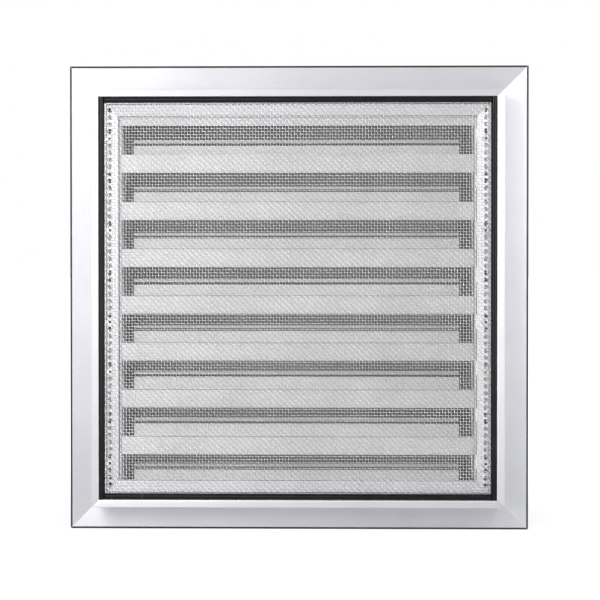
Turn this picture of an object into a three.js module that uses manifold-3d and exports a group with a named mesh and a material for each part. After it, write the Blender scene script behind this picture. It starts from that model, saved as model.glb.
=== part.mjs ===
// Louvred air grille with an insect mesh, built as an assembly of separate pieces.
//
// Millimetres, +Z up, +X to the right. The rear of the grille (mesh side, the side
// that goes into the wall opening) faces -Y and the visible flange faces +Y.
// The origin is the centre of the whole grille.

import * as THREE from 'three';
import { mergeVertices } from 'three/addons/utils/BufferGeometryUtils.js';
import Module from 'manifold-3d';

const wasm = await Module();
wasm.setup();

// ---------------------------------------------------------------- driving sizes

// Outside of the collar, which fits the wall opening.
const COLLAR_W = 292.5;
const COLLAR_H = 296;
const FLANGE_REACH = 19.75; // the flange stands this far out from the collar
const DEPTH = 40; // rear of the rim to the front of the flange
const REAR = -DEPTH / 2;
const FRONT = DEPTH / 2;

const GAP = 0.3; // clearance between neighbouring pieces
const MITRE_GAP = 0.2; // length taken off each mitred end

// Frame profile, measured inwards from the outside of the collar.
const WALL = 2;
const FLANGE_T = 2;
const FLANGE_ROUND = 1.4; // rounding of the flange's rear outer edge
const FRONT_RETURN = 17; // the front plate reaches this far inwards
const RIM = 5.5; // rim outside the spline groove
const RIM_CHAMFER = 0.5;
const GROOVE = 4.1;
const GROOVE_DEPTH = 4.6;
const GROOVE_LIP = 1.6; // inner wall of the groove, top and bottom profiles
const GROOVE_LIP_SIDE = 0.8; // the same wall on the side profiles
const LEDGE_IN = 19.4; // inner edge of the ledge that the mesh lies on
const LEDGE_Y = REAR + 2.5;
const LEDGE_T = 1.6;
const HEAD_Y = REAR + GROOVE_DEPTH + 1.5; // front side of the groove block

// Blades.
const BLADES = 9;
const PITCH = 33.3;
const TOP_BLADE_Z = 122.25; // foot of the highest blade's rear leg
const BLADE_T = 1.4;
const BLADE_HALF = 124.7;
const RIB_ENDS = [-118.6, 115.4]; // the hooked rib stops short of both ends
const BLADE_LIMIT = COLLAR_H / 2 - WALL - GAP; // nothing reaches past this height
// Blade section as [Y, Z] from the foot of its rear leg. The web and the front leg are a
// plate below and in front of this line.
const BLADE_LINE = [[-14.6, 9.9], [11.4, 9.9], [17.6, 36.2]];
const REAR_LEG = [[-15.3, 0], [-13.9, 0], [-13.9, 13], [-15.3, 13]];
// Hooked rib that stands on the web, with a small channel below its lip.
const RIB_OUTLINE = [
  [8, 9.3], [8, 20.5], [11.4, 20.5], [11.4, 22.4], [8, 22.4],
  [8, 24.4], [15.4, 24.4], [14.2, 19.3], [9.3, 19.3], [9.3, 9.3],
];

// Side plates that the blades end at, and the clips behind the perforated rails.
const PLATE_IN = 125;
const PLATE_OUT = 126.5;
const PLATE_REAR = HEAD_Y + 0.4;
const PLATE_FRONT = FRONT - FLANGE_T - GAP;
const CLIP_RANGE = [-127.5, 131]; // no clip reaches below or above these heights
const CLIP_IN = PLATE_OUT + GAP;
const CLIP_LEG_OUT = 130;
const CLIP_TAB_IN = 128.4;
const CLIP_TAB_OUT = 135.5;
const CLIP_TAB_T = 1.6;
const CLIP_FRONT = 4;
const CLIP_SPAN = [-0.6, 22.4]; // bottom and top, from the foot of the blade's rear leg

// Perforated rails on the left and right.
const RAIL_T = 1.4;
const RAIL_LEG = 4; // depth of the bent inner leg
const RAIL_LEG_T = 1.2;
const RAIL_LEG_SHORT = 1; // the leg stops this far short of the rail's inner corners
const HOLES = 54;
const HOLE_PITCH = 5;
const HOLE_D = 3.4;
const HOLE_SIDES = 16;
const HOLE_FROM_COLLAR = 13.25;
const HOLE_RISE = 0.6; // the row sits this much above the middle

// Rivets, as hole numbers counted up from the lowest hole of a rail.
const RIVET_HOLES = [3, 16, 23, 36, 49];
const RIVET_HEAD_D = 5.4;
const RIVET_HEAD_T = 0.5;
const RIVET_HEAD_BEVEL = 0.4;
const RIVET_HEAD_LIFT = 0.05; // between the head and the rail
const RIVET_SIDES = 16;
const RIVET_SHANK_D = 2.8;
const RIVET_BORE_D = 2;
const RIVET_SHANK = 2.4;

// Insect mesh and the rubber spline that holds its edge in the groove.
const MESH_T = 0.7;
const MESH_LIFT = 0.35; // between the rivet heads and the mesh
const MESH_Y = LEDGE_Y - RIVET_HEAD_T - MESH_LIFT;
const SPLINE_SIDE_GAP = 0.05;
const SPLINE_W = GROOVE - 2 * SPLINE_SIDE_GAP;
const SPLINE_SUNK = 0.1; // the spline stays this far below the rim
const SPLINE_FOOT_IN = 0.6; // its foot narrows by this much on each side
const SPLINE_FOOT_UP = 0.8; // over this height
const SPLINE_STEPS = 6;
const SPLINE_JOINT_X = -110.2; // butt joint in the bottom cord
const SPLINE_JOINT_GAP = 0.4;

// Corner cleats inside the collar.
const CLEAT_LEG = 17;
const CLEAT_T = 2.5;
const CLEAT_Y = [8, 17];

// ---------------------------------------------------------------- materials

function material(color, roughness, metalness) {
  return new THREE.MeshStandardMaterial({ color, roughness, metalness });
}

const anodised = () => material(0xd8d9dc, 0.38, 0.9);
const bladeAluminium = () => material(0xcfd0d2, 0.42, 0.9);
const millAluminium = () => material(0xb9bcbf, 0.45, 0.95);
const steelWire = () => material(0xc4c6c8, 0.32, 1);
const rubber = () => material(0x151618, 0.55, 0);

// ---------------------------------------------------------------- geometry helpers

function shapeOf(points) {
  return new THREE.Shape(points.map(([x, y]) => new THREE.Vector2(x, y)));
}

// Outline of a plate of even thickness that runs along an open line of points.
function plateOutline(line, thickness) {
  const pts = line.map(([a, b]) => new THREE.Vector2(a, b));
  const normals = [];
  for (let i = 0; i + 1 < pts.length; i++) {
    const d = pts[i + 1].clone().sub(pts[i]).normalize();
    normals.push(new THREE.Vector2(d.y, -d.x));
  }
  const offset = pts.map((p, i) => {
    const before = normals[Math.max(0, i - 1)];
    const after = normals[Math.min(normals.length - 1, i)];
    const mean = before.clone().add(after).normalize();
    return p.clone().addScaledVector(mean, thickness / mean.dot(before));
  });
  return [...pts, ...offset.reverse()].map((p) => [p.x, p.y]);
}

// Prism of a [Y, Z] outline, running along X between two positions.
function prismAlongX(outline, from, to) {
  const geometry = new THREE.ExtrudeGeometry(shapeOf(outline), {
    depth: to - from,
    bevelEnabled: false,
  });
  // Shape x, y and depth become Y, Z and X.
  geometry.applyMatrix4(new THREE.Matrix4().set(0, 0, 1, from, 1, 0, 0, 0, 0, 1, 0, 0, 0, 0, 0, 1));
  return geometry;
}

// Prism of an [X, Z] outline, running along Y between two positions.
function prismAlongY(outline, from, to) {
  const geometry = new THREE.ExtrudeGeometry(shapeOf(outline), {
    depth: to - from,
    bevelEnabled: false,
  });
  geometry.rotateX(Math.PI / 2);
  geometry.translate(0, to, 0);
  return geometry;
}

// Prism of an [X, Y] outline, running up Z between two heights.
function prismAlongZ(outline, from, to) {
  const geometry = new THREE.ExtrudeGeometry(shapeOf(outline), {
    depth: to - from,
    bevelEnabled: false,
  });
  geometry.translate(0, 0, from);
  return geometry;
}

function boxBetween([x0, y0, z0], [x1, y1, z1]) {
  const geometry = new THREE.BoxGeometry(x1 - x0, y1 - y0, z1 - z0);
  geometry.translate((x0 + x1) / 2, (y0 + y1) / 2, (z0 + z1) / 2);
  return geometry;
}

function toSolid(geometry) {
  const plain = geometry.clone();
  plain.deleteAttribute('normal');
  plain.deleteAttribute('uv');
  const merged = mergeVertices(plain, 1e-5);
  return new wasm.Manifold(new wasm.Mesh({
    numProp: 3,
    vertProperties: new Float32Array(merged.attributes.position.array),
    triVerts: new Uint32Array(merged.index.array),
  }));
}

function toGeometry(solid) {
  const mesh = solid.getMesh();
  const geometry = new THREE.BufferGeometry();
  geometry.setAttribute('position', new THREE.BufferAttribute(mesh.vertProperties, 3));
  geometry.setIndex(new THREE.BufferAttribute(mesh.triVerts, 1));
  geometry.computeVertexNormals();
  return geometry;
}

const grille = new THREE.Group();

function add(name, geometry, surface) {
  const mesh = new THREE.Mesh(geometry, surface);
  mesh.name = name;
  grille.add(mesh);
  return mesh;
}

// ---------------------------------------------------------------- frame

// Frame profile as [u, y]: u runs inwards from the outside of the collar.
function frameOutline(lip, ledgeIn) {
  const flangeRear = FRONT - FLANGE_T;
  const edge = -FLANGE_REACH;
  const grooveIn = RIM + GROOVE;
  const cos45 = FLANGE_ROUND * (1 - Math.SQRT1_2);
  const outline = [
    [edge, FRONT], [FRONT_RETURN, FRONT], [FRONT_RETURN, flangeRear],
    [WALL, flangeRear], [WALL, HEAD_Y],
    [grooveIn + lip, HEAD_Y],
  ];
  if (ledgeIn > grooveIn + lip) {
    outline.push([grooveIn + lip, LEDGE_Y + LEDGE_T], [ledgeIn, LEDGE_Y + LEDGE_T], [ledgeIn, LEDGE_Y]);
  } else {
    outline.push([grooveIn + lip, LEDGE_Y]);
  }
  outline.push(
    [grooveIn, LEDGE_Y], [grooveIn, REAR + GROOVE_DEPTH],
    [RIM, REAR + GROOVE_DEPTH], [RIM, REAR + RIM_CHAMFER], [RIM - RIM_CHAMFER, REAR],
    [RIM_CHAMFER, REAR], [0, REAR + RIM_CHAMFER], [0, flangeRear],
    [edge + FLANGE_ROUND, flangeRear],
    [edge + cos45, flangeRear + cos45],
    [edge, flangeRear + FLANGE_ROUND],
  );
  return outline;
}

// One mitred side of the frame, lying along X with its collar face at z = 0.
function mitredProfile(outline, collarLength) {
  const geometry = new THREE.ExtrudeGeometry(shapeOf(outline), { depth: 1, bevelEnabled: false });
  const position = geometry.attributes.position;
  for (let i = 0; i < position.count; i++) {
    const u = position.getX(i);
    const end = position.getZ(i) > 0.5 ? 1 : -1;
    const half = collarLength / 2 - u - MITRE_GAP;
    position.setXYZ(i, end * half, position.getY(i), -u);
  }
  geometry.computeVertexNormals();
  return geometry;
}

function addFrame() {
  const longOutline = frameOutline(GROOVE_LIP, LEDGE_IN);
  const sideOutline = frameOutline(GROOVE_LIP_SIDE, 0);
  const sides = [
    ['frame_top', longOutline, COLLAR_W, COLLAR_H / 2, 0],
    ['frame_left', sideOutline, COLLAR_H, COLLAR_W / 2, -Math.PI / 2],
    ['frame_bottom', longOutline, COLLAR_W, COLLAR_H / 2, Math.PI],
    ['frame_right', sideOutline, COLLAR_H, COLLAR_W / 2, Math.PI / 2],
  ];
  for (const [name, outline, length, offset, turn] of sides) {
    const mesh = add(name, mitredProfile(outline, length), anodised());
    mesh.position.set(Math.sin(turn) * offset, 0, Math.cos(turn) * offset);
    mesh.rotation.y = turn;
  }
}

// L-shaped angle in each corner, against the inside of the collar.
function addCleats() {
  const outerX = COLLAR_W / 2 - WALL - GAP;
  const outerZ = COLLAR_H / 2 - WALL - GAP;
  const corners = [
    ['corner_cleat_top_left', -1, 1],
    ['corner_cleat_top_right', 1, 1],
    ['corner_cleat_bottom_left', -1, -1],
    ['corner_cleat_bottom_right', 1, -1],
  ];
  for (const [name, sx, sz] of corners) {
    const outline = [
      [outerX, outerZ], [outerX - CLEAT_LEG, outerZ], [outerX - CLEAT_LEG, outerZ - CLEAT_T],
      [outerX - CLEAT_T, outerZ - CLEAT_T], [outerX - CLEAT_T, outerZ - CLEAT_LEG],
      [outerX, outerZ - CLEAT_LEG],
    ].map(([x, z]) => [sx * x, sz * z]);
    add(name, prismAlongY(outline, ...CLEAT_Y), millAluminium());
  }
}

// ---------------------------------------------------------------- blades and their holders

function bladeZ(index) {
  return TOP_BLADE_Z - PITCH * index;
}

function raised(outline, z) {
  return outline.map(([a, b]) => [a, b + z]);
}

// Space that the blades may fill: the whole collar in front of the groove block, and
// between the upper and lower blocks behind that.
function bladeSpace() {
  const blockFront = HEAD_Y + GAP;
  const blockIn = COLLAR_H / 2 - RIM - GROOVE - GROOVE_LIP - GAP;
  const front = boxBetween([-COLLAR_W, blockFront, -BLADE_LIMIT], [COLLAR_W, FRONT, BLADE_LIMIT]);
  const rear = boxBetween([-COLLAR_W, REAR, -blockIn], [COLLAR_W, blockFront + GAP, blockIn]);
  return toSolid(front).add(toSolid(rear));
}

function addBlades() {
  const limits = bladeSpace();
  const plate = plateOutline(BLADE_LINE, BLADE_T);
  for (let i = 0; i < BLADES; i++) {
    const z = bladeZ(i);
    const sheet = toSolid(prismAlongX(raised(plate, z), -BLADE_HALF, BLADE_HALF));
    const leg = toSolid(prismAlongX(raised(REAR_LEG, z), -BLADE_HALF, BLADE_HALF));
    const rib = toSolid(prismAlongX(raised(RIB_OUTLINE, z), ...RIB_ENDS));
    const blade = sheet.add(leg).add(rib).intersect(limits);
    add(`blade_${i + 1}`, toGeometry(blade), bladeAluminium());
  }
}

function addSidePlates() {
  for (const [side, sign] of [['left', -1], ['right', 1]]) {
    const xs = [sign * PLATE_IN, sign * PLATE_OUT].sort((a, b) => a - b);
    const plate = boxBetween([xs[0], PLATE_REAR, -BLADE_LIMIT], [xs[1], PLATE_FRONT, BLADE_LIMIT]);
    add(`side_plate_${side}`, plate, millAluminium());
  }
}

// One clip behind each rail for each blade end: a tab under the rail's holes, and a leg
// that runs forward beside the side plate.
function addClips() {
  const tabRear = LEDGE_Y + RAIL_T + GAP;
  const tabFront = tabRear + CLIP_TAB_T;
  const legRear = LEDGE_Y + RAIL_LEG + GAP;
  const outline = [
    [CLIP_TAB_IN, tabRear], [CLIP_TAB_OUT, tabRear], [CLIP_TAB_OUT, tabFront],
    [CLIP_LEG_OUT, tabFront], [CLIP_LEG_OUT, CLIP_FRONT], [CLIP_IN, CLIP_FRONT],
    [CLIP_IN, legRear], [CLIP_TAB_IN, legRear],
  ];
  for (const [side, sign] of [['left', -1], ['right', 1]]) {
    const mirrored = outline.map(([x, y]) => [sign * x, y]);
    for (let i = 0; i < BLADES; i++) {
      const bottom = Math.max(bladeZ(i) + CLIP_SPAN[0], CLIP_RANGE[0]);
      const top = Math.min(bladeZ(i) + CLIP_SPAN[1], CLIP_RANGE[1]);
      add(`blade_clip_${side}_${i + 1}`, prismAlongZ(mirrored, bottom, top), millAluminium());
    }
  }
}

// ---------------------------------------------------------------- perforated rails

function holeZ(index) {
  return (index - (HOLES - 1) / 2) * HOLE_PITCH + HOLE_RISE;
}

const HOLE_X = COLLAR_W / 2 - HOLE_FROM_COLLAR;

function roundBar(diameter, from, to, sides) {
  const bar = new THREE.CylinderGeometry(diameter / 2, diameter / 2, to - from, sides);
  bar.rotateY(Math.PI / sides);
  bar.translate(0, (from + to) / 2, 0);
  return bar;
}

function railSolid() {
  const outer = COLLAR_W / 2 - RIM - GROOVE - GROOVE_LIP_SIDE - GAP;
  const inner = COLLAR_W / 2 - LEDGE_IN;
  const drop = (COLLAR_H - COLLAR_W) / 2 - MITRE_GAP;
  const strip = prismAlongY(
    [
      [inner, -inner - drop], [outer, -outer - drop],
      [outer, outer + drop], [inner, inner + drop],
    ],
    LEDGE_Y,
    LEDGE_Y + RAIL_T,
  );
  const legHalf = inner + drop - RAIL_LEG_SHORT;
  const leg = boxBetween(
    [inner, LEDGE_Y + RAIL_T / 2, -legHalf],
    [inner + RAIL_LEG_T, LEDGE_Y + RAIL_LEG, legHalf],
  );
  let rail = toSolid(strip).add(toSolid(leg));
  for (let i = 0; i < HOLES; i++) {
    const hole = roundBar(HOLE_D, LEDGE_Y - RAIL_T, LEDGE_Y + 2 * RAIL_T, HOLE_SIDES);
    hole.translate(HOLE_X, 0, holeZ(i));
    rail = rail.subtract(toSolid(hole));
  }
  return rail;
}

function addRails() {
  const right = railSolid();
  add('perforated_rail_right', toGeometry(right), anodised());
  add('perforated_rail_left', toGeometry(right.mirror([1, 0, 0])), anodised());
}

// Hollow rivet: a low round head on the rail and an open tube through one of its holes.
function addRivets() {
  const headRear = LEDGE_Y - RIVET_HEAD_T;
  const headFoot = LEDGE_Y - RIVET_HEAD_LIFT;
  const tubeEnd = LEDGE_Y + RIVET_SHANK;
  const profile = [
    [RIVET_BORE_D / 2, headRear], [RIVET_HEAD_D / 2 - RIVET_HEAD_BEVEL, headRear],
    [RIVET_HEAD_D / 2, headFoot], [RIVET_SHANK_D / 2, headFoot],
    [RIVET_SHANK_D / 2, tubeEnd], [RIVET_BORE_D / 2, tubeEnd],
    [RIVET_BORE_D / 2, headRear],
  ].map(([r, y]) => new THREE.Vector2(r, y));
  for (const [side, sign] of [['left', -1], ['right', 1]]) {
    RIVET_HOLES.forEach((hole, i) => {
      const rivet = new THREE.LatheGeometry(profile, RIVET_SIDES);
      const mesh = add(`rail_rivet_${side}_${i + 1}`, rivet, millAluminium());
      mesh.position.set(sign * HOLE_X, 0, holeZ(hole));
    });
  }
}

// ---------------------------------------------------------------- mesh and spline

function addMesh() {
  const halfW = COLLAR_W / 2 - RIM - GROOVE - GAP;
  const halfH = COLLAR_H / 2 - RIM - GROOVE - GAP;
  const panel = boxBetween([-halfW, MESH_Y - MESH_T, -halfH], [halfW, MESH_Y, halfH]);
  add('insect_mesh', panel, steelWire());
}

// Cord section as [u, y] around its own middle: flat foot, round back.
function splineOutline() {
  const half = SPLINE_W / 2;
  const foot = REAR + GROOVE_DEPTH - GAP;
  const back = REAR + SPLINE_SUNK;
  const footSide = foot - SPLINE_FOOT_UP;
  const outline = [
    [half - SPLINE_FOOT_IN, foot], [-half + SPLINE_FOOT_IN, foot], [-half, footSide],
  ];
  for (let i = 0; i <= SPLINE_STEPS; i++) {
    const angle = Math.PI * (1 - i / SPLINE_STEPS);
    outline.push([Math.cos(angle) * half, back + half - Math.sin(angle) * half]);
  }
  outline.push([half, footSide]);
  return outline;
}

function addSpline() {
  const middle = RIM + GROOVE / 2;
  const x = COLLAR_W / 2 - middle;
  const z = COLLAR_H / 2 - middle;
  const half = SPLINE_W / 2;
  const outline = splineOutline();
  // The upright cords run the whole way, and the level ones butt against them.
  for (const [side, sign] of [['left', -1], ['right', 1]]) {
    const cord = prismAlongX(outline.map(([u, y]) => [y, u]), -z - half, z + half);
    cord.rotateY(Math.PI / 2);
    cord.translate(sign * x, 0, 0);
    add(`spline_${side}`, cord, rubber());
  }
  const end = x - half - GAP;
  const joint = SPLINE_JOINT_X;
  const level = [
    ['spline_top', 1, -end, end],
    ['spline_bottom', -1, joint + SPLINE_JOINT_GAP / 2, end],
    ['spline_bottom_stub', -1, -end, joint - SPLINE_JOINT_GAP / 2],
  ];
  for (const [name, sign, from, to] of level) {
    const cord = prismAlongX(outline.map(([u, y]) => [y, u]), from, to);
    cord.translate(0, 0, sign * z);
    add(name, cord, rubber());
  }
}

addFrame();
addCleats();
addBlades();
addSidePlates();
addClips();
addRails();
addRivets();
addMesh();
addSpline();

export default grille;
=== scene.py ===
"""Louvred air grille seen from its mesh side: fine meshes, materials, studio and camera."""

import math

import bmesh
import bpy
import numpy as np
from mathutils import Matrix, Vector


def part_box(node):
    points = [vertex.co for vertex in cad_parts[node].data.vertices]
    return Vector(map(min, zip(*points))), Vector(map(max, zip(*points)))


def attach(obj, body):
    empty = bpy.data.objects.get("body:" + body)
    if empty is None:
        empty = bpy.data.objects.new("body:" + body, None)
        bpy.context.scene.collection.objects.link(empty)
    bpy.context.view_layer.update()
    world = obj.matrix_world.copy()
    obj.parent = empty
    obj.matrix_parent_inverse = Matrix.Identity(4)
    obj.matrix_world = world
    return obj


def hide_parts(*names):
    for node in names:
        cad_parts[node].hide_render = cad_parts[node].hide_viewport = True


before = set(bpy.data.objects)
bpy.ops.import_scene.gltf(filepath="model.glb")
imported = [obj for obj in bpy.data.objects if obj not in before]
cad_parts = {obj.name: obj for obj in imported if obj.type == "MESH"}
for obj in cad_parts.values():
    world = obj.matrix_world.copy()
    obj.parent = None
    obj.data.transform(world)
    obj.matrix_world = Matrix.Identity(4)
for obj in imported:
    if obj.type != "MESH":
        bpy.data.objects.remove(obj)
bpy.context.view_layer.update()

MM = 0.001

# ------------------------------------------------------------------ sizes, millimetres
# Frame profile, u measured inwards from the outside of the collar.
FLANGE_REACH = 19.75
FLANGE_T = 2.0
FRONT_RETURN = 17.0
WALL = 2.0
RIM = 5.5
GROOVE = 4.1
GROOVE_DEPTH = 4.6
LIP_LEVEL = 1.6
LIP_SIDE = 0.8
LEDGE_IN = 19.4
LEDGE_DROP = 2.5  # ledge below the rim
LEDGE_T = 1.6
HEAD_DROP = 6.1
MITRE_GAP = 0.12
SHADOW_LINE = (10.25, 11.0, 0.8)  # start, end and depth of the fine groove in the ledge

# Cords in the groove.
CORD_W = 3.9
CORD_RISE = 0.15  # the back lies this far inside the back of the CAD cord
CORD_BACK_ROUND = 1.85
CORD_FOOT_ROUND = 0.5
CORD_STEP = 4  # millimetres between the rings of a cord
CORD_WAVES = ((0.05, 0.09), (0.04, 0.31))  # height, and radians per millimetre

# Woven wire.
WIRE_R = 0.2
WIRE_PITCH = 2.09
WEAVE = 0.205  # height of each wire's wave above and below the middle of the cloth
CLOTH_Y = -18.72
WIRE_SIDES = 5
WIRE_MARGIN = 0.9  # the last wire is at least about this far inside the edge of the cloth
CLOTH_TUCK = 0.25  # the cloth reaches this far into the groove
DRIFT = 0.035  # random step in the spacing of the wires
SAG = 0.12
SAG_WAVES = ((0.031, 0.7), (0.027, 0.4))  # radians per millimetre and phase, across and up
BENDS = ((0.05, 0.05, 1.7), (0.03, 0.13, 2.9))  # size, radians per mm along and across
FADE = 12  # the waves die out over this distance from the edge
TIP = 0.15
TIP_DROPS = (0.1, 0.75)  # how far each end turns down beside the cord

# Blades, as [y, z] from the foot of the rear leg.
BLADE_T = 1.4
BLADE_LINE = [(-13.9, 9.9), (11.4, 9.9), (17.6, 36.2)]
LEG_REAR = -15.3
LEG_TOP = 13.0
BLADE_ROUND = [0.35, 0.45, 0.3, 0.25, 0.8, 0.5, 0.5, 1.4, 0.25, 0.35]
RIB_ENDS = (-118.6, 115.4)
RIB = [
    (8.0, 9.3), (8.0, 20.5), (11.4, 20.5), (11.4, 22.4), (8.0, 22.4),
    (8.0, 24.4), (15.4, 24.4), (14.2, 19.3), (9.3, 19.3), (9.3, 9.3),
]
RIB_ROUND = [0, 0.4, 0.3, 0.3, 0.7, 0.5, 0, 0, 0.3, 0]
RIB_ARC = 4  # steps in each rounded corner
BLADES = 9

# Angles between faces from which their edge is drawn sharp, in degrees.
SHARP = 35
SHARP_CORD = 50
SHARP_WIRE = 80
STRAIGHT = 88  # degrees; a corner whose half angle is wider than this is not rounded
MAX_CUT = 0.75  # a rounded corner takes at most this share of its shorter side

# Which faces of the frame get painted shade or a painted highlight, as distances from its edges and
# levels.
OUTER_EDGE = 1.55
INNER_EDGE = 0.55
LEDGE_SKIN = 0.1
RIM_BEAD = (0.87, 0.9)  # width and height
LIP_BEAD = 0.5

rng = np.random.default_rng(7)


def corners(node):
    """Lowest and highest corner of a CAD node, in millimetres."""
    lo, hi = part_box(node)
    return np.array(lo) / MM, np.array(hi) / MM


outer_lo = corners("frame_left")[0]
outer_hi = corners("frame_top")[1]
HALF_W = -outer_lo[0] - FLANGE_REACH
HALF_H = outer_hi[2] - FLANGE_REACH
REAR = corners("frame_top")[0][1]
FRONT = corners("frame_top")[1][1]
LEDGE = REAR + LEDGE_DROP
FLOOR = -outer_hi[2]


# ------------------------------------------------------------------ mesh helpers

def rounded(points, radii, steps=5):
    """Closed outline with each corner turned into an arc of its own radius."""
    pts = [np.array(p, float) for p in points]
    out = []
    for i, p in enumerate(pts):
        radius = radii[i]
        before, after = pts[i - 1] - p, pts[(i + 1) % len(pts)] - p
        la, lb = np.linalg.norm(before), np.linalg.norm(after)
        before, after = before / la, after / lb
        half = math.acos(max(-1.0, min(1.0, float(before @ after)))) / 2
        if radius <= 0 or half > math.radians(STRAIGHT):
            out.append(p)
            continue
        cut = min(radius / math.tan(half), MAX_CUT * min(la, lb))
        radius = cut * math.tan(half)
        middle = before + after
        centre = p + middle / np.linalg.norm(middle) * radius / math.sin(half)
        a, b = p + before * cut - centre, p + after * cut - centre
        turn = math.acos(max(-1.0, min(1.0, float(a @ b) / radius ** 2)))
        for k in range(steps + 1):
            t = k / steps
            w0 = math.sin((1 - t) * turn) / math.sin(turn)
            w1 = math.sin(t * turn) / math.sin(turn)
            out.append(centre + a * w0 + b * w1)
    return np.array(out)


def new_mesh(name, verts, faces, surfaces, slots=None, smooth=SHARP):
    """Object made of vertices in millimetres."""
    mesh = bpy.data.meshes.new(name)
    mesh.from_pydata([tuple(np.array(v, float) * MM) for v in verts], [], faces)
    for surface in surfaces:
        mesh.materials.append(surface)
    if slots is not None:
        mesh.polygons.foreach_set("material_index", slots)
    mesh.polygons.foreach_set("use_smooth", [True] * len(mesh.polygons))
    mesh.update()
    mesh.set_sharp_from_angle(angle=math.radians(smooth))
    obj = bpy.data.objects.new(name, mesh)
    bpy.context.scene.collection.objects.link(obj)
    return obj


def sweep(name, rings, surfaces, ring_slots=None, smooth=SHARP):
    """Closed solid through rings of points, with flat ends."""
    count = len(rings[0])
    verts = [p for ring in rings for p in ring]
    faces, slots = [], []
    for r in range(len(rings) - 1):
        for i in range(count):
            j = (i + 1) % count
            faces.append((r * count + i, r * count + j, (r + 1) * count + j, (r + 1) * count + i))
            slots.append(ring_slots[i] if ring_slots else 0)
    faces.append(tuple(reversed(range(count))))
    faces.append(tuple(range((len(rings) - 1) * count, len(rings) * count)))
    slots += [0, 0]
    return new_mesh(name, verts, faces, surfaces, slots, smooth)


def face_outwards(obj):
    """Turns the faces of a closed mesh so that they point out."""
    bm = bmesh.new()
    bm.from_mesh(obj.data)
    bmesh.ops.recalc_face_normals(bm, faces=bm.faces)
    bm.to_mesh(obj.data)
    bm.free()
    obj.data.set_sharp_from_angle(angle=math.radians(SHARP))


def apply_modifiers(obj):
    """Makes the object's modifiers part of its mesh."""
    dg = bpy.context.evaluated_depsgraph_get()
    mesh = bpy.data.meshes.new_from_object(obj.evaluated_get(dg))
    obj.modifiers.clear()
    obj.data = mesh


def place(obj, slot, *nodes):
    """The piece belongs to the one body and stands for its CAD nodes; the slot argument is not used.
    """
    if nodes:
        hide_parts(*nodes)
    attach(obj, "root")


# ------------------------------------------------------------------ material helpers

class Surface:
    """A node material under construction."""

    def __init__(self, name):
        self.material = bpy.data.materials.new(name)
        self.material.use_nodes = True
        self.tree = self.material.node_tree
        self.shader = self.tree.nodes["Principled BSDF"]
        self.coords = self.node("ShaderNodeTexCoord").outputs["Object"]

    def node(self, kind, **values):
        made = self.tree.nodes.new(kind)
        for key, value in values.items():
            setattr(made, key, value)
        return made

    def link(self, source, target):
        self.tree.links.new(source, target)

    def noise(self, scale, stretch=(1, 1, 1), detail=3.0):
        """Noise in units of 1/m, stretched along any axis."""
        mapping = self.node("ShaderNodeMapping")
        mapping.inputs["Scale"].default_value = stretch
        self.link(self.coords, mapping.inputs["Vector"])
        tex = self.node("ShaderNodeTexNoise")
        tex.inputs["Scale"].default_value = scale
        tex.inputs["Detail"].default_value = detail
        self.link(mapping.outputs["Vector"], tex.inputs["Vector"])
        return tex.outputs["Fac"]

    def range(self, value, low, high, start=0.3, end=0.7):
        made = self.node("ShaderNodeMapRange")
        made.inputs["From Min"].default_value = start
        made.inputs["From Max"].default_value = end
        made.inputs["To Min"].default_value = low
        made.inputs["To Max"].default_value = high
        self.link(value, made.inputs["Value"])
        return made.outputs["Result"]

    def colours(self, value, first, second, start=0.3, end=0.7):
        ramp = self.node("ShaderNodeValToRGB")
        ramp.color_ramp.elements[0].position = start
        ramp.color_ramp.elements[1].position = end
        ramp.color_ramp.elements[0].color = (*first, 1)
        ramp.color_ramp.elements[1].color = (*second, 1)
        self.link(value, ramp.inputs["Fac"])
        return ramp.outputs["Color"]

    def base(self, colour):
        self.link(colour, self.shader.inputs["Base Color"])

    def roughness(self, value):
        self.link(value, self.shader.inputs["Roughness"])

    def bumps(self, *layers):
        """Layers of (height, strength, distance in metres)."""
        last = None
        for height, strength, distance in layers:
            bump = self.node("ShaderNodeBump")
            bump.inputs["Strength"].default_value = strength
            bump.inputs["Distance"].default_value = distance
            self.link(height, bump.inputs["Height"])
            if last is not None:
                self.link(last, bump.inputs["Normal"])
            last = bump.outputs["Normal"]
        self.link(last, self.shader.inputs["Normal"])


ALONG = {"x": (0.02, 1, 1), "z": (1, 1, 0.02)}
ACROSS = {"x": (0, 0, 1), "z": (1, 0, 0)}
PATCHES = 28  # scale of the soft patches, 1/m
LINES = 2600  # scale of the drawing lines, 1/m
SPREAD = 0.05  # the roughness varies by this much either way
SPECKLE = 700  # scale of the speckle that breaks up a band of painted shade, 1/m
BAND_SHADE = (0.1, 0.1, 0.1, 1)
MIX_A, MIX_B, MIX_COLOUR = 6, 7, 2  # sockets of a colour Mix node


def metal(name, dark, light, rough, axis=None, grain=0.12, metallic=1.0, stretch=0.85):
    """Aluminium with fine drawing lines along one axis and soft patches in its finish."""
    s = Surface(name)
    s.shader.inputs["Metallic"].default_value = metallic
    if axis:
        # The drawing lines spread the reflection across their own direction.
        s.shader.inputs["Anisotropic"].default_value = stretch
        across = s.node("ShaderNodeCombineXYZ")
        for socket, value in zip(across.inputs, ACROSS[axis]):
            socket.default_value = value
        s.link(across.outputs[0], s.shader.inputs["Tangent"])
    patches = s.noise(PATCHES, detail=4)
    lines = s.noise(LINES, ALONG.get(axis, (1, 1, 1)), detail=2)
    s.base(s.colours(patches, dark, light))
    s.roughness(s.range(lines, rough - SPREAD, rough + SPREAD))
    s.bumps((lines, grain, 0.00002), (patches, 0.05, 0.0006))
    return s.material


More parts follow.
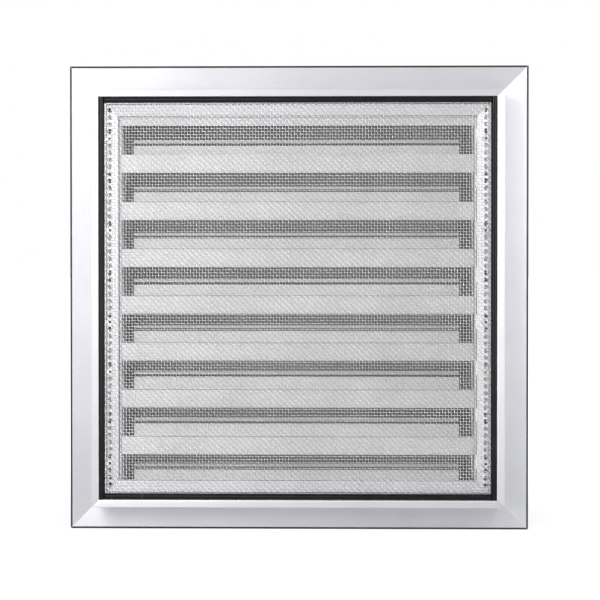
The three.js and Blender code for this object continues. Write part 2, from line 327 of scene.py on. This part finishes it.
def painted_shade_band(material, start, end):
    """Paints shade into a material on its outer side, from one distance off the middle plane to
    another.
    """
    tree = material.node_tree
    shader = tree.nodes["Principled BSDF"]
    position = tree.nodes.new("ShaderNodeNewGeometry").outputs["Position"]
    split_x = tree.nodes.new("ShaderNodeSeparateXYZ")
    tree.links.new(position, split_x.inputs[0])
    away = tree.nodes.new("ShaderNodeMath")
    away.operation = "ABSOLUTE"
    tree.links.new(split_x.outputs["X"], away.inputs[0])
    edge = tree.nodes.new("ShaderNodeMapRange")
    edge.inputs["From Min"].default_value = start * MM
    edge.inputs["From Max"].default_value = end * MM
    tree.links.new(away.outputs[0], edge.inputs["Value"])
    speckle = tree.nodes.new("ShaderNodeTexNoise")
    speckle.inputs["Scale"].default_value = SPECKLE
    tree.links.new(position, speckle.inputs["Vector"])
    amount = tree.nodes.new("ShaderNodeMath")
    amount.operation = "MULTIPLY"
    tree.links.new(edge.outputs[0], amount.inputs[0])
    tree.links.new(speckle.outputs["Fac"], amount.inputs[1])
    mix_colour = tree.nodes.new("ShaderNodeMix")
    mix_colour.data_type = "RGBA"
    tree.links.new(amount.outputs[0], mix_colour.inputs["Factor"])
    colour = shader.inputs["Base Color"].links[0].from_socket
    tree.links.new(colour, mix_colour.inputs[MIX_A])
    mix_colour.inputs[MIX_B].default_value = BAND_SHADE
    tree.links.new(mix_colour.outputs[MIX_COLOUR], shader.inputs["Base Color"])


def grey(value, tint=(1, 1, 1)):
    return tuple(value * t for t in tint)


COOL = (0.985, 0.985, 1.02)
FRAME_ROUGH = 0.53
RAIL_EDGE = (134.4, 134.9)  # distances from the middle plane of the painted shade along the rails' outer edges
# Painted shade on the blade ends beyond the ribs, as distances from the middle plane.
BLADE_END = (114.5, 116)
frame_x = metal("anodised_level", grey(0.9, COOL), grey(0.94, COOL), FRAME_ROUGH, "x")
frame_z = metal("anodised_upright", grey(0.9, COOL), grey(0.94, COOL), FRAME_ROUGH, "z")
# Near-black copy of the aluminium: painted shade on the flange's outer edge, on the ledge's inner
# edge and in the fine groove of the ledge.
painted_shade_edge = metal("frame_edge_painted_shade", grey(0.08), grey(0.12), 0.5)
# Lighter, smoother copy of the aluminium, also on the rivets: on the rim and lip beads its bright
# line is partly real, from the lower roughness, and partly a painted highlight, from the lighter
# colour.
highlight_metal = metal("bead_painted_highlight", grey(0.93), grey(0.97), 0.3)
rail_metal = metal("anodised_rail", grey(0.93, COOL), grey(0.97, COOL), 0.46, "z")
blade_metal = metal("blade_aluminium", grey(0.8), grey(0.86), 0.46, "x", 0.2, 0.9)
# Much lighter, less metallic copy of the blade aluminium: painted light on the rib's upright strip,
# which lies deep between the blades.
painted_light_strip = metal("blade_strip_painted_light", grey(0.93), grey(0.98), 0.5, "x", 0.2, 0.6)
# Dark copy of the blade aluminium: painted shade on the faces deep between the blades, on the top
# edge of each rear leg and in the channel under the rib's lip.
painted_shade_metal = metal("blade_painted_shade", grey(0.2), grey(0.26), 0.6, "x", 0.2, 0.6)
# Darkened copy of the aluminium on the blade clips: painted shade for the clips seen in shadow
# through the rail holes.
clip_painted_shade = metal("clip_aluminium_painted_shade", grey(0.38), grey(0.46), 0.5, "z", 0.2)
plate_metal = metal("mill_aluminium", grey(0.62), grey(0.74), 0.4, "z", 0.2)
wire_metal = metal("wire_steel", grey(0.84), grey(0.95), 0.2, grain=0.05)


def rubber():
    s = Surface("spline_rubber")
    fine = s.noise(2200, detail=4)
    broad = s.noise(60)
    s.base(s.colours(broad, (0.003, 0.003, 0.004), (0.007, 0.007, 0.008)))
    s.roughness(s.range(broad, 0.12, 0.2))
    s.shader.inputs["Specular IOR Level"].default_value = 0.3
    s.bumps((fine, 0.15, 0.00004), (broad, 0.1, 0.0005))
    return s.material


cord_rubber = rubber()
# Painted shade: the rails' outer bands beside the rim and the blade ends beyond the ribs are darkened
# where shade falls.
painted_shade_band(rail_metal, *RAIL_EDGE)
painted_shade_band(painted_shade_metal, *BLADE_END)

for node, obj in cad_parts.items():
    for prefix, surface in (
        ("perforated_rail", rail_metal), ("rail_rivet", highlight_metal),
        ("side_plate", plate_metal), ("blade_clip", clip_painted_shade), ("corner_cleat", plate_metal),
    ):
        if node.startswith(prefix):
            obj.data.materials.clear()
            obj.data.materials.append(surface)


# ------------------------------------------------------------------ frame

def profile(lip, ledge):
    """Rounded section of one side of the frame as [u, y], and a material slot for each edge."""
    flange = FRONT - FLANGE_T
    inner = RIM + GROOVE
    floor = REAR + GROOVE_DEPTH
    head = REAR + HEAD_DROP
    # Each row is u, y and the radius of its corner.
    rows = [
        (-FLANGE_REACH, FRONT, 0.4), (FRONT_RETURN, FRONT, 0.5), (FRONT_RETURN, flange, 0.5),
        (WALL, flange, 0.8), (WALL, head, 0.6), (inner + lip, head, 0.3),
    ]
    if ledge:
        a, b, deep = SHADOW_LINE
        rows += [
            (inner + lip, LEDGE + LEDGE_T, 0.3), (LEDGE_IN, LEDGE + LEDGE_T, 0.25),
            (LEDGE_IN, LEDGE, 0.5), (b, LEDGE, 0.1), (b, LEDGE + deep, 0.1),
            (a, LEDGE + deep, 0.1), (a, LEDGE, 0.2),
        ]
    else:
        rows.append((inner + lip, LEDGE, 0.25))
    rows += [
        (inner, LEDGE, 0.3), (inner, floor, 0.3), (RIM, floor, 0.3), (RIM, REAR, 0.85),
        (0, REAR, 0.45), (0, flange, 0.5), (-FLANGE_REACH, flange, 1.5),
    ]
    outline = rounded([r[:2] for r in rows], [r[2] for r in rows])
    slots = []
    for i, here in enumerate(outline):
        u, y = (here + outline[(i + 1) % len(outline)]) / 2
        on_ledge = LEDGE - LEDGE_SKIN < y < LEDGE + LEDGE_T
        outer_edge = u < -FLANGE_REACH + OUTER_EDGE
        inner_edge = u > LEDGE_IN - INNER_EDGE and on_ledge
        shadow_line = SHADOW_LINE[0] - 0.02 < u < SHADOW_LINE[1] + 0.02 and y > LEDGE + 0.05
        rim_bead = RIM - RIM_BEAD[0] < u < RIM + 0.01 and y < REAR + RIM_BEAD[1]
        lip_bead = inner - 0.01 < u < SHADOW_LINE[0] and on_ledge and y < LEDGE + LIP_BEAD
        # Slot 1 is painted shade: the dark outline of the flange's outer edge, the line at the
        # ledge's inner edge and the fine groove.
        if outer_edge or inner_edge or (shadow_line and ledge and on_ledge):
            slots.append(1)
        # Slot 2 is a painted highlight on the rim bead and the lip bead.
        elif rim_bead or lip_bead:
            slots.append(2)
        else:
            slots.append(0)
    return outline, slots


def make_frame():
    """The four sides, each a section swept between its mitred ends."""
    sides = [
        ("top", LIP_LEVEL, True, HALF_W, HALF_H, 0.0, frame_x),
        ("left", LIP_SIDE, False, HALF_H, HALF_W, -90.0, frame_z),
        ("bottom", LIP_LEVEL, True, HALF_W, HALF_H, 180.0, frame_x),
        ("right", LIP_SIDE, False, HALF_H, HALF_W, 90.0, frame_z),
    ]
    for name, lip, ledge, half, offset, turn, surface in sides:
        outline, slots = profile(lip, ledge)
        c, s = math.cos(math.radians(turn)), math.sin(math.radians(turn))
        rings = []
        for end in (-1, 1):
            ring = []
            for u, y in outline:
                x, z = end * (half - u - MITRE_GAP), offset - u
                ring.append((x * c + z * s, y, -x * s + z * c))
            rings.append(ring)
        obj = sweep(f"frame_profile_{name}", rings, [surface, painted_shade_edge, highlight_metal], slots)
        face_outwards(obj)
        place(obj, "frame_aluminium", f"frame_{name}")


# ------------------------------------------------------------------ blades

def plate_outline(line, thickness):
    """Outline of a bent plate: a line and its offset."""
    pts = [np.array(p) for p in line]
    normals = []
    for a, b in zip(pts, pts[1:]):
        d = (b - a) / np.linalg.norm(b - a)
        normals.append(np.array([d[1], -d[0]]))
    offset = []
    for i, p in enumerate(pts):
        before, after = normals[max(0, i - 1)], normals[min(len(normals) - 1, i)]
        mean = (before + after) / np.linalg.norm(before + after)
        offset.append(p + mean * thickness / (mean @ before))
    return pts + offset[::-1]


def clip_high(outline, limit):
    """Cuts a [y, z] outline at a height."""
    out = []
    for i, p in enumerate(outline):
        q = outline[(i + 1) % len(outline)]
        if p[1] <= limit:
            out.append(p)
        if (p[1] - limit) * (q[1] - limit) < 0:
            t = (limit - p[1]) / (q[1] - p[1])
            out.append(p + (q - p) * t)
    return out


def blade_outline(foot):
    """Section of a blade without its rib: rear leg, web and front leg."""
    plate = plate_outline(BLADE_LINE, BLADE_T)
    leg_front = BLADE_LINE[0][0]
    outline = [(LEG_REAR, foot), (LEG_REAR, LEG_TOP), (leg_front, LEG_TOP)]
    outline += plate + [(leg_front, foot)]
    return rounded(outline, BLADE_ROUND)


def blade_zones(mesh, base):
    """Material slots: slot 1 is painted light on the rib's upright strip; slot 2 is painted shade on
    the faces deep between the blades, on the top edge of the rear leg and in the channel under the
    rib's lip.
    """
    (y0, z0), (y1, z1) = BLADE_LINE[1:]
    slots = []
    for polygon in mesh.polygons:
        y, z = polygon.center.y / MM, polygon.center.z / MM - base
        line = y0 + (y1 - y0) * (z - z0) / (z1 - z0)
        rear = polygon.normal.y < -0.3
        # Slot 1: painted light on the rib's upright strip.
        if rear and abs(y - RIB[0][0]) < 0.3 and z < RIB[2][1]:
            slots.append(1)
        # Slot 2: painted shade.
        elif rear and z > LEG_TOP - 3 and abs(y - line) < 0.5:
            slots.append(2)
        elif polygon.normal.z > 0.35 and y < LEG_REAR + 0.36 and z > LEG_TOP - 0.6:
            slots.append(2)
        elif RIB[2][1] - 0.2 < z < RIB[3][1] + 0.2 and RIB[0][0] + 0.6 < y < RIB[2][0] + 0.2:
            slots.append(2)
        else:
            slots.append(0)
    mesh.polygons.foreach_set("material_index", slots)


def make_blades():
    """Each blade is its plate and its rib in one mesh, the last one cut off at the ledge."""
    for k in range(1, BLADES + 1):
        lo, hi = corners(f"blade_{k}")
        base = lo[2] if k < BLADES else hi[2] - BLADE_LINE[-1][1]
        limit = hi[2] - base
        pieces = []
        for name, outline, ends in (
            (f"louvre_blade_{k}", blade_outline(lo[2] - base), (lo[0], hi[0])),
            (f"rib_{k}", rounded(RIB, RIB_ROUND, RIB_ARC), RIB_ENDS),
        ):
            cut = clip_high(list(outline), limit)
            rings = [[(x, y, z + base) for y, z in cut] for x in ends]
            piece = sweep(name, rings, [blade_metal, painted_light_strip, painted_shade_metal])
            face_outwards(piece)
            pieces.append(piece)
        blade, rib = pieces
        union = blade.modifiers.new("rib", "BOOLEAN")
        union.operation = "UNION"
        union.solver = "EXACT"
        union.object = rib
        bpy.context.view_layer.update()
        apply_modifiers(blade)
        bpy.data.objects.remove(rib)
        blade_zones(blade.data, base)
        blade.data.set_sharp_from_angle(angle=math.radians(SHARP))
        place(blade, "blade_aluminium", f"blade_{k}")


# ------------------------------------------------------------------ woven wire

def wave(count, phase):
    """Heights along a wire that passes over and under `count` others, two samples a crossing."""
    sign = np.where((np.arange(count) + phase) % 2 == 0, 1.0, -1.0)
    return np.repeat(sign, 2) * WEAVE


def tubes(paths, sides):
    """Vertices and quads of round wires along paths, each an array of [x, y, z] points."""
    verts, quads, base = [], [], 0
    ring = np.arange(sides) * 2 * math.pi / sides + 0.3
    for path in paths:
        n = len(path)
        along = np.gradient(path, axis=0)
        along /= np.linalg.norm(along, axis=1, keepdims=True)
        up = np.array([0.0, -1.0, 0.0])
        side = np.cross(along, up)
        side /= np.linalg.norm(side, axis=1, keepdims=True)
        lift = np.cross(side, along)
        circle = (
            side[:, None, :] * np.cos(ring)[None, :, None]
            + lift[:, None, :] * np.sin(ring)[None, :, None]
        ) * WIRE_R
        verts.append((path[:, None, :] + circle).reshape(-1, 3))
        i = np.arange(n - 1)[:, None] * sides + np.arange(sides)[None, :]
        j = np.arange(n - 1)[:, None] * sides + (np.arange(sides)[None, :] + 1) % sides
        quads.append(np.stack([i, j, j + sides, i + sides], axis=-1).reshape(-1, 4) + base)
        base += n * sides
    return np.concatenate(verts), np.concatenate(quads)


def cloth_piece(name, paths, nodes):
    """Object of many closed wires: quads along them and a flat cap on each end."""
    sides = WIRE_SIDES
    verts, quads = tubes(paths, sides)
    caps, base = [], 0
    for path in paths:
        last = base + (len(path) - 1) * sides
        caps.append(list(range(base, base + sides))[::-1])
        caps.append(list(range(last, last + sides)))
        base += len(path) * sides
    caps = np.array(caps)
    loops = np.concatenate([quads.reshape(-1), caps.reshape(-1)])
    totals = np.concatenate([np.full(len(quads), 4), np.full(len(caps), sides)])
    starts = np.concatenate([[0], np.cumsum(totals)[:-1]])
    mesh = bpy.data.meshes.new(name)
    mesh.vertices.add(len(verts))
    mesh.vertices.foreach_set("co", (verts * MM).astype(np.float32).reshape(-1))
    mesh.loops.add(len(loops))
    mesh.loops.foreach_set("vertex_index", loops.astype(np.int32))
    mesh.polygons.add(len(totals))
    mesh.polygons.foreach_set("loop_start", starts.astype(np.int32))
    mesh.polygons.foreach_set("use_smooth", np.ones(len(totals), bool))
    mesh.update(calc_edges=True)
    mesh.validate()
    mesh.materials.append(wire_metal)
    obj = bpy.data.objects.new(name, mesh)
    bpy.context.scene.collection.objects.link(obj)
    mesh.set_sharp_from_angle(angle=math.radians(SHARP_WIRE))
    place(obj, "wire_steel", *nodes)


def grid(half):
    """Places of the wires that fit between -half and half."""
    count = int(2 * (half - WIRE_MARGIN) / WIRE_PITCH) + 1
    return (np.arange(count) - (count - 1) / 2) * WIRE_PITCH


def make_cloth():
    half_x = HALF_W - RIM - GROOVE + CLOTH_TUCK
    half_z = HALF_H - RIM - GROOVE + CLOTH_TUCK
    xs, zs = grid(half_x), grid(half_z)
    drift_x = np.cumsum(rng.normal(0, DRIFT, len(xs)))
    drift_z = np.cumsum(rng.normal(0, DRIFT, len(zs)))
    drift_x -= np.linspace(drift_x[0], drift_x[-1], len(xs))
    drift_z -= np.linspace(drift_z[0], drift_z[-1], len(zs))
    xs, zs = xs + drift_x, zs + drift_z

    def along(stations):
        """Positions along a wire: two beside each crossing."""
        return np.stack([stations - WIRE_PITCH / 4, stations + WIRE_PITCH / 4], axis=1).reshape(-1)

    def sag(x, z):
        """The cloth bellies very slightly between its held edges."""
        (rate_x, phase_x), (rate_z, phase_z) = SAG_WAVES
        return SAG * np.sin(x * rate_x + phase_x) * np.sin(z * rate_z + phase_z)

    def wire(fixed, stations, half, phase, upright):
        t = along(stations)
        y = CLOTH_Y + wave(len(stations), phase)
        bend = sum(size * np.sin(t * rate + fixed * shift) for size, rate, shift in BENDS)
        fade = np.clip((half - np.abs(t)) / FADE, 0, 1)
        other = fixed + bend * fade
        y = y + (sag(other, t) if upright else sag(t, other)) * fade
        # Each end turns down beside the cord.
        for sign in (-1, 1):
            tip = np.array([sign * (half - TIP), sign * half])
            drop = np.array([CLOTH_Y + TIP_DROPS[0], CLOTH_Y + TIP_DROPS[1]])
            if sign < 0:
                t = np.concatenate([tip[::-1], t])
                y = np.concatenate([drop[::-1], y])
                other = np.concatenate([[fixed, fixed], other])
            else:
                t = np.concatenate([t, tip])
                y = np.concatenate([y, drop])
                other = np.concatenate([other, [fixed, fixed]])
        cols = (other, y, t) if upright else (t, y, other)
        return np.stack(cols, axis=1)

    uprights = [wire(x, zs, half_z, i, True) for i, x in enumerate(xs)]
    levels = [wire(z, xs, half_x, i + 1, False) for i, z in enumerate(zs)]
    a, b = len(uprights) // 2, len(levels) // 2
    cloth_piece("mesh_wires_upright_1", uprights[:a], ["insect_mesh"])
    cloth_piece("mesh_wires_upright_2", uprights[a:], [])
    cloth_piece("mesh_wires_level_1", levels[:b], [])
    cloth_piece("mesh_wires_level_2", levels[b:], [])


# ------------------------------------------------------------------ cords

def cord_section(foot, back):
    """Section of the cord as [u, y] round its own middle."""
    half = CORD_W / 2
    rows = [
        (-half, back, CORD_BACK_ROUND), (half, back, CORD_BACK_ROUND),
        (half, foot, CORD_FOOT_ROUND), (-half, foot, CORD_FOOT_ROUND),
    ]
    return rounded([r[:2] for r in rows], [r[2] for r in rows], 8)


def make_cords():
    for name in ("spline_left", "spline_right", "spline_top", "spline_bottom", "spline_bottom_stub"):
        lo, hi = corners(name)
        section = cord_section(hi[1], lo[1] + CORD_RISE)
        upright = hi[2] - lo[2] > hi[0] - lo[0]
        axis = 2 if upright else 0
        centre = (lo + hi) / 2
        stations = np.linspace(lo[axis], hi[axis], max(3, int((hi[axis] - lo[axis]) / CORD_STEP)))
        phase = rng.uniform(0, 6, 3)
        rings = []
        for t in stations:
            rise = sum(size * math.sin(t * rate + p) for (size, rate), p in zip(CORD_WAVES, phase))
            ring = []
            for u, y in section:
                lifted = y + rise * (y < (lo[1] + hi[1]) / 2)
                if upright:
                    ring.append((centre[0] + u, lifted, t))
                else:
                    ring.append((t, lifted, centre[2] + u))
            rings.append(ring)
        obj = sweep(name.replace("spline", "rubber_cord"), rings, [cord_rubber], smooth=SHARP_CORD)
        face_outwards(obj)
        place(obj, "spline_rubber", name)


make_frame()
make_blades()
make_cloth()
make_cords()

# ------------------------------------------------------------------ studio

scene = bpy.context.scene
scene.view_settings.view_transform = "Standard"

REAR_GLOW = 0.48
FRONT_GLOW = 0.55
SKY_GLOW = 0.02
FLOOR_GLOW = 0.1
FLOOR_REACH = 40.0  # metres
FLOOR_GAP = 0.0002
CAMERA_AT = (0.0386, -1.5, 0.0217)
CAMERA_AIM = (0.00138, 0, -0.00134)
CAMERA_ANGLE = 16.28
# Name, place in metres, size in metres and power in watts.
LIGHTS = (
    ("near_left", (-0.7, -1.6, 0.3), (0.5, 1.2), 8.5),
    ("front", (-0.5, -1.9, 0.7), (0.9, 0.9), 6),
    ("right_high", (0.7, -1.7, 0.9), (0.8, 0.5), 3.8),
    ("side_right", (1.5, -1.3, 0.3), (0.8, 1.2), 9),
)

world = bpy.data.worlds.new("studio")
scene.world = world
world.use_nodes = True
tree = world.node_tree
tree.nodes.clear()


def world_node(kind, *sources, **values):
    made = tree.nodes.new(kind)
    for key, value in values.items():
        setattr(made, key, value)
    for socket, source in zip(made.inputs, sources):
        tree.links.new(source, socket)
    return made


direction = world_node("ShaderNodeTexCoord").outputs["Generated"]
split = world_node("ShaderNodeSeparateXYZ", direction)


def glow(axis, start, end, strength):
    level = world_node("ShaderNodeMapRange", split.outputs[axis])
    level.inputs["From Min"].default_value = start
    level.inputs["From Max"].default_value = end
    level.inputs["To Max"].default_value = strength
    return level.outputs[0]


total = world_node("ShaderNodeMath", glow("Y", 0.2, -0.6, REAR_GLOW), glow("Y", 0.1, 0.7, FRONT_GLOW))
total = world_node("ShaderNodeMath", total.outputs[0], glow("Z", 0.0, 0.8, SKY_GLOW))
fill = world_node("ShaderNodeBackground")
tree.links.new(total.outputs[0], fill.inputs["Strength"])
seen = world_node("ShaderNodeBackground")
for background, colour in ((fill, (0.97, 0.985, 1, 1)), (seen, (1, 1, 1, 1))):
    background.inputs["Color"].default_value = colour
camera_ray = world_node("ShaderNodeLightPath").outputs["Is Camera Ray"]
mix = world_node("ShaderNodeMixShader", camera_ray, fill.outputs[0], seen.outputs[0])
world_node("ShaderNodeOutputWorld", mix.outputs[0])


def softbox(name, at, size, power):
    light = bpy.data.lights.new(name, "AREA")
    light.shape = "RECTANGLE"
    light.size, light.size_y = size
    light.energy = power
    obj = bpy.data.objects.new(name, light)
    obj.location = at
    obj.rotation_euler = (-Vector(at)).to_track_quat("-Z", "Y").to_euler()
    scene.collection.objects.link(obj)


for light_row in LIGHTS:
    softbox(*light_row)

floor_mesh = bpy.data.meshes.new("studio_floor")
level_z = FLOOR * MM - FLOOR_GAP
square = ((-1, -1), (1, -1), (1, 1), (-1, 1))
floor_mesh.from_pydata(
    [(x * FLOOR_REACH, y * FLOOR_REACH, level_z) for x, y in square],
    [], [(0, 1, 2, 3)],
)
floor = bpy.data.objects.new("studio_floor", floor_mesh)
scene.collection.objects.link(floor)
ground = Surface("studio_floor")
ground.shader.inputs["Roughness"].default_value = 0.9
ground.shader.inputs["Specular IOR Level"].default_value = 0.0
ground.base(ground.colours(ground.noise(3), (0.86, 0.86, 0.86), (0.88, 0.88, 0.88)))
# Far from the object the floor glows like the backdrop; near it, it takes shadows.
far = ground.node("ShaderNodeVectorMath", operation="LENGTH")
ground.link(ground.coords, far.inputs[0])
near_glow = ground.range(far.outputs["Value"], 0.6, 1.0, 0.25, 0.6)
ray = ground.node("ShaderNodeLightPath").outputs["Is Camera Ray"]
glowing = ground.node("ShaderNodeMix")
ground.link(ray, glowing.inputs[0])
glowing.inputs[2].default_value = FLOOR_GLOW
ground.link(near_glow, glowing.inputs[3])
ground.shader.inputs["Emission Color"].default_value = (1, 1, 1, 1)
ground.link(glowing.outputs[0], ground.shader.inputs["Emission Strength"])
floor_mesh.materials.append(ground.material)

camera_data = bpy.data.cameras.new("camera")
camera_data.lens_unit = "FOV"
camera_data.angle = math.radians(CAMERA_ANGLE)
camera = bpy.data.objects.new("camera", camera_data)
camera.location = CAMERA_AT
camera.rotation_euler = (Vector(CAMERA_AIM) - camera.location).to_track_quat("-Z", "Y").to_euler()
scene.collection.objects.link(camera)
scene.camera = camera
